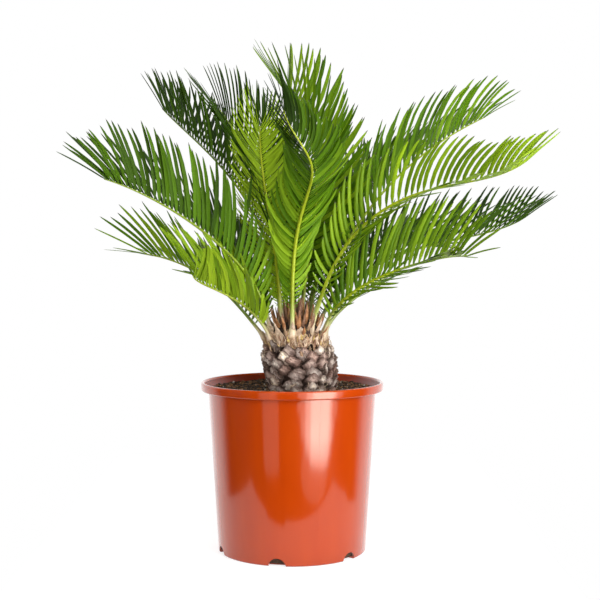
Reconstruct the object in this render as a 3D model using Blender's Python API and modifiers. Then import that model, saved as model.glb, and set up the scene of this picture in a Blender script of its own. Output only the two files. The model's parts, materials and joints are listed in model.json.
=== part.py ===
"""A sago palm in a round nursery pot, modelled as separate closed solids.

Metres, +Z up. The origin is the centre of the pot's flat underside.
Azimuths are in degrees: 0 is +X, 90 is +Y, and 270 is the side that the plant shows first.
The crown is a table of fronds. Each is a rib that follows a curve in space, with a row of
leaflets on each side; here one wide leaflet stands for three real ones.
"""
import math
from collections import namedtuple

import bmesh
import bpy
from mathutils import Matrix, Vector
from mathutils.bvhtree import BVHTree

# Pot: a 30 cm round container with a rolled rim
POT_HEIGHT = 0.278
RIM_RADIUS = 0.150
RIM_DEPTH = 0.0135
RIM_LIP = 0.006
BODY_TOP_RADIUS = 0.1377
BODY_BASE_RADIUS = 0.1215
BASE_CORNER = 0.003
WALL = 0.0025
FLOOR_THICKNESS = 0.003
POT_STEPS = 48
NOTCH_COUNT = 6
NOTCH_FIRST_AZIMUTH = 19
NOTCH_HEIGHT = 0.013
NOTCH_WIDTH = 0.028
NOTCH_REACH = (0.108, 0.130)

# Soil: fills the pot to a little below the rim
SOIL_LEVEL = 0.263
GAP = 0.0003

# Trunk: a short barrel that leans to the left, under a low dome that the fronds grow from
TRUNK_FOOT_X = 0.019
CROWN_X = 0.006
BARREL_RADIUS = 0.055
BARREL_MIDDLE = 0.305
BARREL_BEND = 4.5
DOME_FOOT = 0.350
DOME_TOP = 0.383
DOME_RISE = 0.0345
SCALES_AROUND = 16
BARREL_ROWS = 9
DOME_ROWS = 4
SCALE_BUMP = 0.0045
SCALE_TILT = 0.0015

# Bud: the dry pointed scales that stand in the middle of the crown
BUD_FOOT = DOME_TOP + GAP
BUD_RADIUS = 0.0095
BUD_HEIGHT = 0.014
BUD_SPIKES = 7
BUD_SPIKE_LENGTH = 0.024

# Ribs and leaflets
FOOT_DEPTH = 0.012
RIB_HALF_FOOT = 0.0036
RIB_HALF_TIP = 0.0009
RIB_TIP = 0.004
FIRST_LEAF = 0.13
LEAF_PITCH = 0.0264
FULL_CURL_SLANT = 58
LEAF_HALF_ROOT = 0.0052
LEAF_HALF_WIDTH = 0.0075
LEAF_SPREAD = 0.42
LEAF_HALF_THICKNESS = 0.0010
LEAF_MIDDLE = 0.42
SHORTEST_LEAF = 0.018
CLEARANCE = 0.0008
FINE_STEPS = 120

Frond = namedtuple("Frond", "name heading seat rise turn length leaf curl keel roll shade")

# heading: the azimuth that the rib sets off in, in degrees
# seat: azimuth in degrees, radius and height in mm of the place where the rib leaves the dome
# rise: the rib's slope above level in degrees, as control values from foot to tip
# turn: how far the heading has turned in degrees, as control values after a first one of 0
# length and leaf: the rib's and its longest leaflet's length in mm
# curl: how far a leaflet bends towards the frond's tip, in degrees, where it stands well off the rib
# keel: how far the two rows fold up from the frond's plane, in degrees, at the foot and at the tip
# roll: how far the frond's right side is turned up about the rib, in degrees, at the foot and at the tip
# shade: 0 for the oldest and darkest green, 1 for the youngest and lightest
FRONDS = (
    Frond("frond_front_left_low", 192, (212, 47, 350), (66, 38, 9, 23), (7, 0, 73), 191, 135, 29, (52, 49), (22, 16), 1.0),
    Frond("frond_left_low", 167, (178, 50, 349), (50, 51, 22, 9), (-13, 1, -3), 260, 137, 14, (31, 30), (22, -39), 0.6),
    Frond("frond_left_long", 198, (194, 44, 357), (89, 27, 43, 8), (-13, -21, 39), 395, 139, 19, (49, 68), (-26, -6), 0.5),
    Frond("frond_left_steep", 153, (150, 30, 371), (90, 69, 30, 36), (0, 5, -20), 465, 128, 21, (52, 59), (-10, -20), 0.1),
    Frond("frond_left_steepest", 146, (178, 21, 377), (99, 73, 54, 43), (-5, -7, -14), 402, 138, 27, (53, 61), (23, 34), 0.3),
    Frond("frond_front_broad", 244, (205, 27, 371), (89, 72, 73, 49), (-17, 5, 30), 336, 109, 27, (5, 7), (-9, 37), 0.9),
    Frond("frond_front_curved", 290, (263, 45, 357), (87, 112, -47, 74), (-18, 45, -103), 434, 105, 50, (21, 33), (18, -5), 0.7),
    Frond("frond_tallest", 141, (40, 17, 379), (90, 112, 94, 27), (33, 75, -48), 417, 143, 22, (41, 51), (-36, 15), 0.7),
    Frond("frond_right_high", 16, (10, 24, 375), (69, 63, 34, 22), (-6, 0, 18), 490, 141, 40, (51, 46), (24, 33), 0.6),
    Frond("frond_right_long", 349, (311, 36, 363), (71, 87, -42, 29), (27, -34, -31), 487, 118, 28, (38, 70), (-72, -62), 0.9),
    Frond("frond_right_dark", 21, (24, 36, 364), (65, 19, -5, 23), (-4, -17, 15), 444, 124, 20, (49, 58), (-9, -15), 0.1),
    Frond("frond_right_low", 329, (340, 46, 353), (78, 7, 28, -5), (23, 16, -35), 311, 127, 19, (36, 49), (-67, -37), 0.8),
    Frond("frond_right_short", 8, (8, 48, 350), (84, 16, 49, 23), (-3, 1, -5), 155, 90, 28, (24, 20), (27, 39), 0.5),
    Frond("frond_back_left_high", 112, (112, 20, 374), (88, 80, 60, 40), (0, 0, 0), 400, 105, 26, (40, 50), (12, -10), 0.2),
    Frond("frond_back_high", 92, (94, 31, 368), (82, 68, 40, 0), (0, 0, 0), 400, 105, 24, (38, 48), (-14, 8), 0.3),
    Frond("frond_back_right_high", 68, (70, 27, 372), (84, 68, 38, 0), (0, 0, 0), 360, 95, 28, (36, 50), (10, -12), 0.3),
    Frond("frond_back_right_tall", 38, (42, 28, 371), (80, 66, 40, 12), (0, 0, 0), 410, 100, 24, (42, 52), (-10, 14), 0.4),
    Frond("frond_back_left", 139, (136, 40, 360), (30, 78, 35, 34), (-24, 14, 27), 281, 92, 29, (50, 53), (-11, -2), 0.3),
    Frond("frond_back_low", 102, (102, 46, 353), (66, 38, 8, -18), (0, 0, 0), 370, 105, 26, (36, 50), (14, -6), 0.3),
    Frond("frond_back_right_low", 72, (72, 46, 353), (66, 40, 8, -18), (0, 0, 0), 370, 105, 30, (38, 46), (-12, 10), 0.3),
    Frond("frond_right_back_low", 46, (46, 47, 351), (66, 38, 8, -12), (0, 0, 0), 380, 105, 24, (40, 52), (8, -12), 0.3),
    Frond("frond_left_back_low", 150, (152, 47, 351), (62, 50, 30, 0), (0, 0, 0), 170, 85, 28, (42, 46), (0, 0), 0.4),
)


def blend(low, high, share):
    """The value that lies a share of the way from low to high."""
    return low + (high - low) * share


def through(place, stops):
    """The value at a place on a line through (place, value) stops."""
    for (start, low), (end, high) in zip(stops, stops[1:]):
        if place <= end:
            return blend(low, high, max(0.0, (place - start) / (end - start)))
    return stops[-1][1]


def bezier(place, values):
    """A smooth value from the first of a few control values to the last."""
    while len(values) > 1:
        values = [blend(low, high, place) for low, high in zip(values, values[1:])]
    return values[0]


def around(radius, azimuth, height, centre_x=0.0):
    """A point at a radius and azimuth about a vertical line through centre_x."""
    angle = math.radians(azimuth)
    return Vector((centre_x + radius * math.cos(angle), radius * math.sin(angle), height))


class Rib:
    """A frond's rib: a point, a direction, an upper side and a right side at each place from 0 to 1."""

    def __init__(self, frond):
        azimuth, radius, height = frond.seat
        self.frond = frond
        self.length = frond.length / 1000
        self.points = [around(radius / 1000, azimuth, height / 1000, CROWN_X)]
        for step in range(FINE_STEPS):
            along = self.direction((step + 0.5) / FINE_STEPS)
            self.points.append(self.points[-1] + along * self.length / FINE_STEPS)

    def angles(self, place):
        heading = self.frond.heading + bezier(place, (0,) + self.frond.turn)
        return math.radians(bezier(place, self.frond.rise)), math.radians(heading)

    def direction(self, place):
        rise, heading = self.angles(place)
        level = math.cos(rise)
        return Vector((level * math.cos(heading), level * math.sin(heading), math.sin(rise)))

    def frame(self, place):
        """The point, the direction, the upper side and the right side."""
        rise, heading = self.angles(place)
        along = self.direction(place)
        up = Vector((-math.sin(rise) * math.cos(heading), -math.sin(rise) * math.sin(heading), math.cos(rise)))
        step = min(max(place, 0.0) * FINE_STEPS, FINE_STEPS - 1e-6)
        low = int(step)
        point = self.points[low].lerp(self.points[low + 1], step - low)
        beyond = min(place, 0.0) + max(place - 1.0, 0.0)
        roll = math.radians(bezier(place - beyond, self.frond.roll))
        right = along.cross(up)
        rolled_up = up * math.cos(roll) - right * math.sin(roll)
        rolled_right = right * math.cos(roll) + up * math.sin(roll)
        return point + along * beyond * self.length, along, rolled_up, rolled_right

    def half_width(self, place):
        return blend(RIB_HALF_TIP, RIB_HALF_FOOT, max(0.0, 1 - place) ** 0.8)

    def corners(self, place, extra=0.0):
        """The four corners of the rib's section, each found by its side (1 right, -1 left) and top or bottom."""
        point, _, up, right = self.frame(place)
        half = self.half_width(min(place, 1.0)) + extra
        return {(side, top): point + right * half * side + up * half * top for side in (1, -1) for top in (1, -1)}


def leaf_length(rib, place):
    """Leaflets grow from short spines near the foot to full length, and shorten again to the tip."""
    grow = min(1.0, max(0.06, (place - 0.07) / 0.28))
    shrink = 1 - 0.25 * max(0.0, (place - 0.5) / 0.5) ** 2
    return rib.frond.leaf / 1000 * grow * shrink


def leaf_slant(place):
    """The angle between a leaflet and the rib, in degrees."""
    return through(place, ((0.05, 80), (0.25, 58), (0.5, 58), (0.75, 56), (0.90, 46), (0.97, 32), (1.0, 16)))


class Leaf:
    """One wide leaflet: a flat blade from the rib's side face to a pointed tip."""

    def __init__(self, rib, place, side, fold, shorter, forward):
        self.rib = rib
        self.start = place - LEAF_HALF_ROOT / rib.length
        self.end = place + LEAF_HALF_ROOT / rib.length
        point, along, up, right = rib.frame(place)
        keel = math.radians(bezier(place, rib.frond.keel) + fold)
        out = right * side * math.cos(keel) + up * math.sin(keel)
        slant = math.radians(leaf_slant(place) - forward)
        curl = math.radians(rib.frond.curl) * min(1.0, slant / math.radians(FULL_CURL_SLANT))
        length = leaf_length(rib, place) * shorter
        root = point + right * side * rib.half_width(place)
        first = along * math.cos(slant) + out * math.sin(slant)
        last = along * math.cos(slant - curl) + out * math.sin(slant - curl)
        turning = (last - first) * LEAF_MIDDLE / 2
        middle = root + (first + turning) * length * LEAF_MIDDLE
        self.tip = root + (first + (last - first) / 2) * length
        blade = (self.tip - middle).normalized()
        across = blade.cross(along.cross(out)).normalized()
        face = across.cross(blade)
        if face.dot(up) < 0:
            face.negate()
        half = min(LEAF_HALF_WIDTH, length / 8, LEAF_SPREAD * LEAF_PITCH * math.sin(slant))
        self.middle = {
            (end, top): middle + across * half * end + face * LEAF_HALF_THICKNESS * top
            for end in (-1, 1)
            for top in (-1, 1)
        }
        start_corners = rib.corners(self.start)
        end_corners = rib.corners(self.end)
        self.root = {}
        for top in (-1, 1):
            self.root[(-1, top)] = start_corners[(side, top)]
            self.root[(1, top)] = end_corners[(side, top)]
        self.centre = middle
        self.reach = max((self.tip - middle).length, (root - middle).length) + half

    def moves(self):
        """Where each corner of the root goes when the leaflet is drawn out of the rib."""
        return [(self.root[key], self.middle[key]) for key in self.root]

    def tree(self, extra=0.0):
        """The blade's faces, pushed out by a little extra, for finding what it touches."""
        keys = ((-1, -1), (1, -1), (1, 1), (-1, 1))
        verts = []
        for section in (self.root, self.middle):
            centre = sum(section.values(), Vector()) / len(section)
            verts += [section[key] + (section[key] - centre).normalized() * extra for key in keys]
        verts.append(self.tip + (self.tip - self.centre).normalized() * extra)
        faces = []
        for corner in range(4):
            after = (corner + 1) % 4
            faces.append((corner, after, after + 4))
            faces.append((corner, after + 4, corner + 4))
            faces.append((corner, after, corner + 4))
            faces.append((after, after + 4, corner + 4))
            faces.append((corner + 4, after + 4, 8))
        return BVHTree.FromPolygons(verts, faces)


def leaf_places(rib):
    """The middles of the leaflets' roots along the rib, from near its foot to its tip."""
    last = 1 - (LEAF_HALF_ROOT + 0.001) / rib.length
    count = round(rib.length * (last - FIRST_LEAF) / LEAF_PITCH)
    return [blend(FIRST_LEAF, last, number / count) for number in range(count + 1)]


def rib_tree(rib):
    """The rib's side faces as a closed tube, for finding what touches it."""
    stations = [-FOOT_DEPTH / rib.length] + [step / 40 for step in range(41)]
    order = ((1, 1), (1, -1), (-1, -1), (-1, 1))
    verts = []
    faces = []
    for station in stations:
        corners = rib.corners(station, CLEARANCE)
        verts += [corners[key] for key in order]
    for ring in range(len(stations) - 1):
        for corner in range(4):
            a = ring * 4 + corner
            b = ring * 4 + (corner + 1) % 4
            faces.append((a, b, b + 4, a + 4))
    return BVHTree.FromPolygons(verts, faces)


def grow_leaves(ribs, obstacles):
    """Give every rib its leaflets, keeping each clear of all ribs and of the leaflets placed before it."""
    tubes = {rib.frond.name: rib_tree(rib) for rib in ribs}
    placed = []
    leaves = {rib.frond.name: [] for rib in ribs}
    tries = [
        (fold, shorter, forward)
        for shorter in (1.0, 0.8, 0.6, 0.42)
        for fold, forward in ((0, 0), (-9, 0), (9, 0), (0, 8), (-18, 0), (18, 0), (0, 16), (-27, 6), (27, 6))
    ]

    def is_clear(leaf):
        tree = leaf.tree(CLEARANCE)
        if any(tree.overlap(obstacle) for obstacle in obstacles):
            return False
        for name, tube in tubes.items():
            if name != leaf.rib.frond.name and tree.overlap(tube):
                return False
        for other, other_tree in placed:
            if (other.centre - leaf.centre).length < other.reach + leaf.reach and tree.overlap(other_tree):
                return False
        return True

    def settle(rib, place, side):
        for fold, shorter, forward in tries:
            leaf = Leaf(rib, place, side, fold, shorter, forward)
            if leaf_length(rib, place) * shorter < SHORTEST_LEAF:
                continue
            if is_clear(leaf):
                placed.append((leaf, leaf.tree()))
                leaves[rib.frond.name].append(leaf)
                return

    for rib in ribs:
        for place in reversed(leaf_places(rib)):
            for side in (1, -1):
                settle(rib, place, side)
    return leaves


def draw_out(mesh, face, moves):
    """Extrude a face and move each of its corners from one place to another."""
    grown = bmesh.ops.extrude_discrete_faces(mesh, faces=[face])["faces"][0]
    for vert in grown.verts:
        vert.co = min(moves, key=lambda move: (move[0] - vert.co).length)[1]
    return grown


def side_faces(face):
    """The faces round a newly drawn-out end face."""
    return [other for edge in face.edges for other in edge.link_faces if other is not face]


def nearest_face(faces, corners):
    """The face, of those still there, whose middle is nearest to the middle of some corners."""
    middle = sum(corners, Vector()) / len(corners)
    there = [face for face in faces if face.is_valid]
    return min(there, key=lambda face: (face.calc_center_median() - middle).length)


def make_object(name, mesh, material, collection):
    """Turn a bmesh into a named object with a material."""
    bmesh.ops.recalc_face_normals(mesh, faces=mesh.faces)
    if mesh.calc_volume(signed=True) < 0:
        bmesh.ops.reverse_faces(mesh, faces=mesh.faces)
    data = bpy.data.meshes.new(name)
    mesh.to_mesh(data)
    mesh.free()
    data.materials.append(material)
    piece = bpy.data.objects.new(name, data)
    collection.objects.link(piece)
    return piece


def rib_mesh(stations, corners_at):
    """A closed four-sided tube through the stations, and the four side faces of each stretch."""
    mesh = bmesh.new()
    order = ((1, 1), (-1, 1), (-1, -1), (1, -1))
    first = corners_at(stations[0])
    end = mesh.faces.new([mesh.verts.new(first[key]) for key in order])
    stretches = []
    before = first
    for station in stations[1:]:
        after = corners_at(station)
        end = draw_out(mesh, end, [(before[key], after[key]) for key in order])
        stretches.append(side_faces(end))
        before = after
    open_edges = [edge for edge in mesh.edges if edge.is_boundary]
    bmesh.ops.holes_fill(mesh, edges=open_edges, sides=4)
    return mesh, stretches


def add_frond(rib, leaves, material, collection):
    """A rib with its leaflets drawn out of its side faces, as one closed solid."""
    stations = [-FOOT_DEPTH / rib.length, 0.0]
    for place in leaf_places(rib):
        stations += [place - LEAF_HALF_ROOT / rib.length, place + LEAF_HALF_ROOT / rib.length]
    stations.append(1 + RIB_TIP / rib.length)
    mesh, stretches = rib_mesh(stations, rib.corners)
    for leaf in leaves:
        stretch = stretches[min(range(len(stations)), key=lambda i: abs(stations[i] - leaf.start))]
        root = nearest_face(stretch, list(leaf.root.values()))
        blade = draw_out(mesh, root, leaf.moves())
        tip = bmesh.ops.poke(mesh, faces=[blade])["verts"][0]
        tip.co = leaf.tip
    bmesh.ops.triangulate(mesh, faces=mesh.faces)
    return make_object(rib.frond.name, mesh, material, collection)


def add_socket_cutter(rib, material, collection):
    """The shape of a rib's foot with a small gap round it, that is cut out of the trunk."""
    first_leaf = leaf_places(rib)[0] - LEAF_HALF_ROOT / rib.length
    stations = [-(FOOT_DEPTH + GAP) / rib.length, 0.0, first_leaf]
    mesh, _ = rib_mesh(stations, lambda place: rib.corners(place, GAP))
    return hide_cutter(make_object(f"socket_{rib.frond.name}", mesh, material, collection))


def hide_cutter(cutter):
    cutter.hide_render = True
    cutter.display_type = "WIRE"
    return cutter


def turned(name, profile, material, collection):
    """A solid turned about the Z axis from a profile that starts on the axis and runs down its outer side."""
    data = bpy.data.meshes.new(name)
    points = [(radius, 0.0, height) for radius, height in profile]
    data.from_pydata(points, [(i, i + 1) for i in range(len(points) - 1)], [])
    data.materials.append(material)
    piece = bpy.data.objects.new(name, data)
    collection.objects.link(piece)
    screw = piece.modifiers.new("turn", "SCREW")
    screw.steps = POT_STEPS
    screw.render_steps = POT_STEPS
    screw.use_merge_vertices = True
    screw.merge_threshold = 0.00001
    screw.use_normal_calculate = False
    return piece


def arc(centre, radius, start, end, steps):
    """Points on an arc in a profile, from one angle to another in degrees."""
    angles = [math.radians(blend(start, end, step / steps)) for step in range(steps + 1)]
    return [(centre[0] + radius * math.cos(angle), centre[1] + radius * math.sin(angle)) for angle in angles]


def inner_radius(height):
    """The radius of the pot's inner wall at a height."""
    share = (height - BASE_CORNER) / (POT_HEIGHT - RIM_DEPTH - BASE_CORNER)
    return blend(BODY_BASE_RADIUS, BODY_TOP_RADIUS, share) - WALL


def add_pot(material, collection, cutters):
    """The pot's wall, floor and rolled rim, with arched drainage notches round its foot."""
    under_rim = POT_HEIGHT - RIM_DEPTH
    lip = RIM_LIP / 2
    crest = (RIM_RADIUS - lip, POT_HEIGHT - lip)
    corner = (BODY_BASE_RADIUS - BASE_CORNER, BASE_CORNER)
    profile = [(0.0, FLOOR_THICKNESS), (BODY_BASE_RADIUS - BASE_CORNER - WALL, FLOOR_THICKNESS)]
    profile.append((inner_radius(BASE_CORNER + FLOOR_THICKNESS), BASE_CORNER + FLOOR_THICKNESS))
    profile.append((inner_radius(under_rim - WALL), under_rim - WALL))
    profile += arc(crest, lip, 180, 0, 6)
    profile += [(RIM_RADIUS, under_rim + 0.0015), (RIM_RADIUS - 0.0015, under_rim)]
    profile += [(BODY_TOP_RADIUS + 0.002, under_rim), (BODY_TOP_RADIUS, under_rim - 0.002)]
    profile += arc(corner, BASE_CORNER, 0, -90, 3)
    profile.append((0.0, 0.0))
    pot = turned("pot", profile, material, collection)
    notch_radius = (NOTCH_WIDTH ** 2 / 4 + NOTCH_HEIGHT ** 2) / (2 * NOTCH_HEIGHT)
    inner, outer = NOTCH_REACH
    for number in range(NOTCH_COUNT):
        azimuth = NOTCH_FIRST_AZIMUTH + number * 360 / NOTCH_COUNT
        mesh = bmesh.new()
        bmesh.ops.create_cone(
            mesh,
            cap_ends=True,
            segments=32,
            radius1=notch_radius,
            radius2=notch_radius,
            depth=outer - inner,
            matrix=Matrix.Rotation(math.radians(azimuth), 4, "Z")
            @ Matrix.Translation(((inner + outer) / 2, 0, NOTCH_HEIGHT - notch_radius))
            @ Matrix.Rotation(math.radians(90), 4, "Y"),
        )
        hide_cutter(make_object(f"notch_{number + 1}", mesh, material, cutters))
    cut = pot.modifiers.new("notches", "BOOLEAN")
    cut.operation = "DIFFERENCE"
    cut.operand_type = "COLLECTION"
    cut.collection = cutters
    return pot


def add_soil(material, collection):
    """The potting mix: a plug that fills the pot, flat where the trunk stands and higher at the wall."""
    foot = FLOOR_THICKNESS + GAP
    corner = foot + BASE_CORNER
    profile = [(0.0, SOIL_LEVEL), (0.070, SOIL_LEVEL), (0.100, SOIL_LEVEL + 0.001), (0.118, SOIL_LEVEL + 0.003)]
    profile += [(inner_radius(SOIL_LEVEL) - GAP - 0.004, SOIL_LEVEL + 0.002)]
    profile += [(inner_radius(SOIL_LEVEL - 0.003) - GAP, SOIL_LEVEL - 0.003)]
    profile += [(inner_radius(corner) - GAP, corner), (inner_radius(corner) - GAP - BASE_CORNER, foot), (0.0, foot)]
    return turned("soil", profile, material, collection)


def trunk_centre(height):
    """The trunk leans: its axis moves left from the foot to the crown."""
    share = min(1.0, (height - SOIL_LEVEL) / (DOME_FOOT - SOIL_LEVEL))
    return blend(TRUNK_FOOT_X, CROWN_X, share)


def trunk_radius(height):
    """A barrel, closed above by a low dome."""
    foot = min(height, DOME_FOOT)
    radius = BARREL_RADIUS - BARREL_BEND * (foot - BARREL_MIDDLE) ** 2
    if height > DOME_FOOT:
        radius *= math.sqrt(1 - ((height - DOME_FOOT) / DOME_RISE) ** 2)
    return radius


def trunk_rings():
    """Rings of points up the trunk and over its dome, each turned half a step from the one below."""
    low = SOIL_LEVEL + GAP
    heights = [blend(low, DOME_FOOT, row / BARREL_ROWS) for row in range(BARREL_ROWS)]
    spread = [math.sin(math.pi / 2 * row / DOME_ROWS) for row in range(DOME_ROWS + 1)]
    heights += [blend(DOME_FOOT, DOME_TOP, share) for share in spread]
    step = 360 / SCALES_AROUND
    rings = []
    for row, height in enumerate(heights):
        azimuths = [(number + row % 2 / 2) * step for number in range(SCALES_AROUND)]
        rings.append([around(trunk_radius(height), azimuth, height, trunk_centre(height)) for azimuth in azimuths])
    return rings


def add_trunk(material, collection, cutters):
    """The trunk, covered with diamond-shaped stubs of old leaf bases in staggered rows."""
    mesh = bmesh.new()
    rings = [[mesh.verts.new(point) for point in ring] for ring in trunk_rings()]
    last = len(rings) - 1
    stubs = []
    for row, ring in enumerate(rings):
        for number in range(SCALES_AROUND):
            between = (number + row % 2) % SCALES_AROUND
            corners = [ring[number]]
            if row > 0:
                corners.append(rings[row - 1][between])
            corners.append(ring[(number + 1) % SCALES_AROUND])
            if row < last:
                corners.append(rings[row + 1][between])
            face = mesh.faces.new(corners)
            if len(corners) == 4:
                stubs.append((face, SCALE_BUMP if row < BARREL_ROWS else SCALE_BUMP / 3))
    mesh.faces.new(rings[0][::-1])
    mesh.faces.new(rings[-1])
    mesh.normal_update()
    for face, bump in stubs:
        lift = face.normal * bump + Vector((0, 0, SCALE_TILT))
        crest = bmesh.ops.poke(mesh, faces=[face])["verts"][0]
        crest.co += lift
    trunk = make_object("trunk", mesh, material, collection)
    cut = trunk.modifiers.new("sockets", "BOOLEAN")
    cut.operation = "DIFFERENCE"
    cut.operand_type = "COLLECTION"
    cut.collection = cutters
    return trunk


def add_bud(material, collection):
    """The bud: a short core with a dry pointed scale drawn out of each side and one out of its top."""
    mesh = bmesh.new()
    bmesh.ops.create_cone(
        mesh,
        cap_ends=True,
        segments=BUD_SPIKES,
        radius1=BUD_RADIUS,
        radius2=BUD_RADIUS * 0.6,
        depth=BUD_HEIGHT,
        matrix=Matrix.Translation((CROWN_X, 0, BUD_FOOT + BUD_HEIGHT / 2)),
    )
    mesh.normal_update()
    for face in list(mesh.faces):
        out = face.normal.copy()
        if out.z < -0.5:
            continue
        middle = face.calc_center_median()
        rise = Vector((0, 0, BUD_SPIKE_LENGTH))
        moves = [(vert.co.copy(), middle.lerp(vert.co, 0.7) + out * 0.001 + rise * 0.4) for vert in face.verts]
        spike = bmesh.ops.poke(mesh, faces=[draw_out(mesh, face, moves)])["verts"][0]
        spike.co = middle + out * 0.002 + rise
    return make_object("crown_bud", mesh, material, collection)


def plain_material(name, colour, roughness, metallic=0.0):
    """A Principled BSDF with one colour."""
    material = bpy.data.materials.new(name)
    material.use_nodes = True
    shader = material.node_tree.nodes["Principled BSDF"]
    shader.inputs["Base Color"].default_value = (*colour, 1.0)
    shader.inputs["Roughness"].default_value = roughness
    shader.inputs["Metallic"].default_value = metallic
    material.diffuse_color = (*colour, 1.0)
    return material


def frond_material(shade):
    """Older fronds are a darker green."""
    dark = (0.012, 0.045, 0.008)
    light = (0.120, 0.260, 0.015)
    colour = tuple(blend(low, high, shade) for low, high in zip(dark, light))
    return plain_material(f"frond_green_{round(shade * 10):02d}", colour, 0.45)


def as_tree(piece):
    """An object's faces before its modifiers, for finding what touches it."""
    mesh = bmesh.new()
    mesh.from_mesh(piece.data)
    tree = BVHTree.FromBMesh(mesh)
    mesh.free()
    return tree


def new_collection(name):
    collection = bpy.data.collections.new(name)
    bpy.context.scene.collection.children.link(collection)
    return collection


def main():
    for old in list(bpy.data.objects):
        bpy.data.objects.remove(old, do_unlink=True)
    plant = new_collection("sago_palm")
    notches = new_collection("notch_cutters")
    sockets = new_collection("socket_cutters")
    add_pot(plain_material("pot_plastic", (0.46, 0.075, 0.018), 0.22), plant, notches)
    add_soil(plain_material("potting_soil", (0.030, 0.018, 0.010), 0.95), plant)
    trunk = add_trunk(plain_material("trunk_bark", (0.140, 0.100, 0.080), 0.85), plant, sockets)
    bud = add_bud(plain_material("dry_scales", (0.260, 0.120, 0.060), 0.8), plant)
    ribs = [Rib(frond) for frond in FRONDS]
    leaves = grow_leaves(ribs, [as_tree(trunk), as_tree(bud)])
    shades = {}
    for rib in ribs:
        shade = rib.frond.shade
        if shade not in shades:
            shades[shade] = frond_material(shade)
        add_frond(rib, leaves[rib.frond.name], shades[shade], plant)
        add_socket_cutter(rib, shades[shade], sockets)


main()
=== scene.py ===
"""The looks of a potted sago palm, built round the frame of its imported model.

Metres, +Z up. Azimuths are in degrees: 0 is +X, 90 is +Y, and the camera stands on the -Y side.
The crown repeats the model's table of fronds and its rule, with leaflets of real width.
Trunk, bud, soil and pot are finer meshes in the places of the model's own.
"""

import json
import math
import random
from collections import namedtuple

import bmesh
import bpy
from mathutils import Matrix, Vector, noise


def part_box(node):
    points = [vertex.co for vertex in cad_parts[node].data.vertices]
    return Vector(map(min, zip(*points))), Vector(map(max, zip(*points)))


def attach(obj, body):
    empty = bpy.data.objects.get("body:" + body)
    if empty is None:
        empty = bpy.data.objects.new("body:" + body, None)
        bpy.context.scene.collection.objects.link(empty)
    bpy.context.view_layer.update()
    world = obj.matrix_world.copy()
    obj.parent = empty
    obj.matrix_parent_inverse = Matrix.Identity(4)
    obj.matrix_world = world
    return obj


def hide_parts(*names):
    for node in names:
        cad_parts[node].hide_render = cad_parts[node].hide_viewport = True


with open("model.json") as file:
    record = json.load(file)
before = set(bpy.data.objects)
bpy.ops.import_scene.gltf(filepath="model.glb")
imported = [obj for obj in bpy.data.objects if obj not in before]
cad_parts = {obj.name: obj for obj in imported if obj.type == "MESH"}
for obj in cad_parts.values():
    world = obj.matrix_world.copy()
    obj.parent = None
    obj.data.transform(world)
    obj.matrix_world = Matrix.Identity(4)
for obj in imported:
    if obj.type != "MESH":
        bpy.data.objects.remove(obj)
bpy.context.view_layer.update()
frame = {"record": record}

UPWARD = Vector((0, 0, 1))

# Places read from the frame
SOIL_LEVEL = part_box("trunk")[0].z
SOIL_LOW, SOIL_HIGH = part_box("soil")
POT_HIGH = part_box("pot")[1]
BUD_LOW, BUD_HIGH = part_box("crown_bud")

# Trunk: the same barrel and dome as the model's
TRUNK_FOOT_X = 0.019
CROWN_X = 0.006
BARREL_RADIUS = 0.0550
BARREL_MIDDLE = 0.305
BARREL_BEND = 4.5
DOME_FOOT = 0.350
DOME_TOP = 0.383
DOME_RISE = 0.0345
CORE_INSET = 0.0045
CORE_STEPS = 20
CORE_SIDES = 48

# Stubs of old leaf bases on the trunk; their width and height are in shares of their spacing
STUBS_AROUND = 14
STUB_ROWS = 8
STUB_FIRST = 0.004
STUB_TOP = 0.333
STUB_WIDTH = 1.02
STUB_HEIGHT = 2.05
STUB_BULGE = 0.0042
STUB_SINK = 0.0050
STUB_STEPS = 20

# Rings of a stub from the buried one to its top: reach from its middle, and lift in bulges or sinks
STUB_RINGS = ((0.92, -1.0), (1.08, 0.0), (1.0, 0.35), (0.84, 0.75), (0.62, 1.0), (0.40, 1.02), (0.18, 0.90))

# Scales, torn bases and fibres of the crown, and crumbs on the soil
GOLDEN_ANGLE = 137.5
CROWN_SCALES = 84
INNER_LOOKS = ("scale_red", "scale_red", "scale_brown")
OUTER_LOOKS = ("scale_red", "scale_tan", "scale_cream")
BUD_SCALES = 9
LEAF_BASES = 26
BASE_HEIGHTS = (0.334, 0.350)
TORN_SCALES = 460
TORN_HEIGHTS = (0.322, 0.354, 0.344)
TORN_LOOKS = ("scale_cream", "scale_tan", "scale_tan", "scale_ochre", "scale_brown", "scale_brown")
FIBRES = 70
SHOULDER_HEIGHTS = (0.330, 0.352)
FOOT_HEIGHTS = (0.266, 0.285)
GRAINS = 2600
PERLITE_SHARE = 0.045
CHIP_SHARE = 0.115
SOIL_STEPS = 96
SOIL_RINGS = 32

# A scale's cross-section: across in half widths, inward in thicknesses
SCALE_SECTION = (
    (1.0, 0.5), (0.5, -0.1), (0.0, -0.25), (-0.5, -0.1),
    (-1.0, 0.5), (-0.5, -0.7), (0.0, -0.95), (0.5, -0.7),
)
SCALE_STEPS = 7

# Fronds: the same growing rule as the model's
FOOT_DEPTH = 0.012
RIB_HALF_FOOT = 0.0036
RIB_HALF_TIP = 0.0009
RIB_TIP = 0.004
FINE_STEPS = 120
RIB_SIDES = 12
RIB_STEPS = 48
RIB_FOOT_RINGS = (-FOOT_DEPTH, -0.008, -0.004, 0.0, 0.004, 0.008, 0.012, 0.017, 0.023, 0.031)

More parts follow.
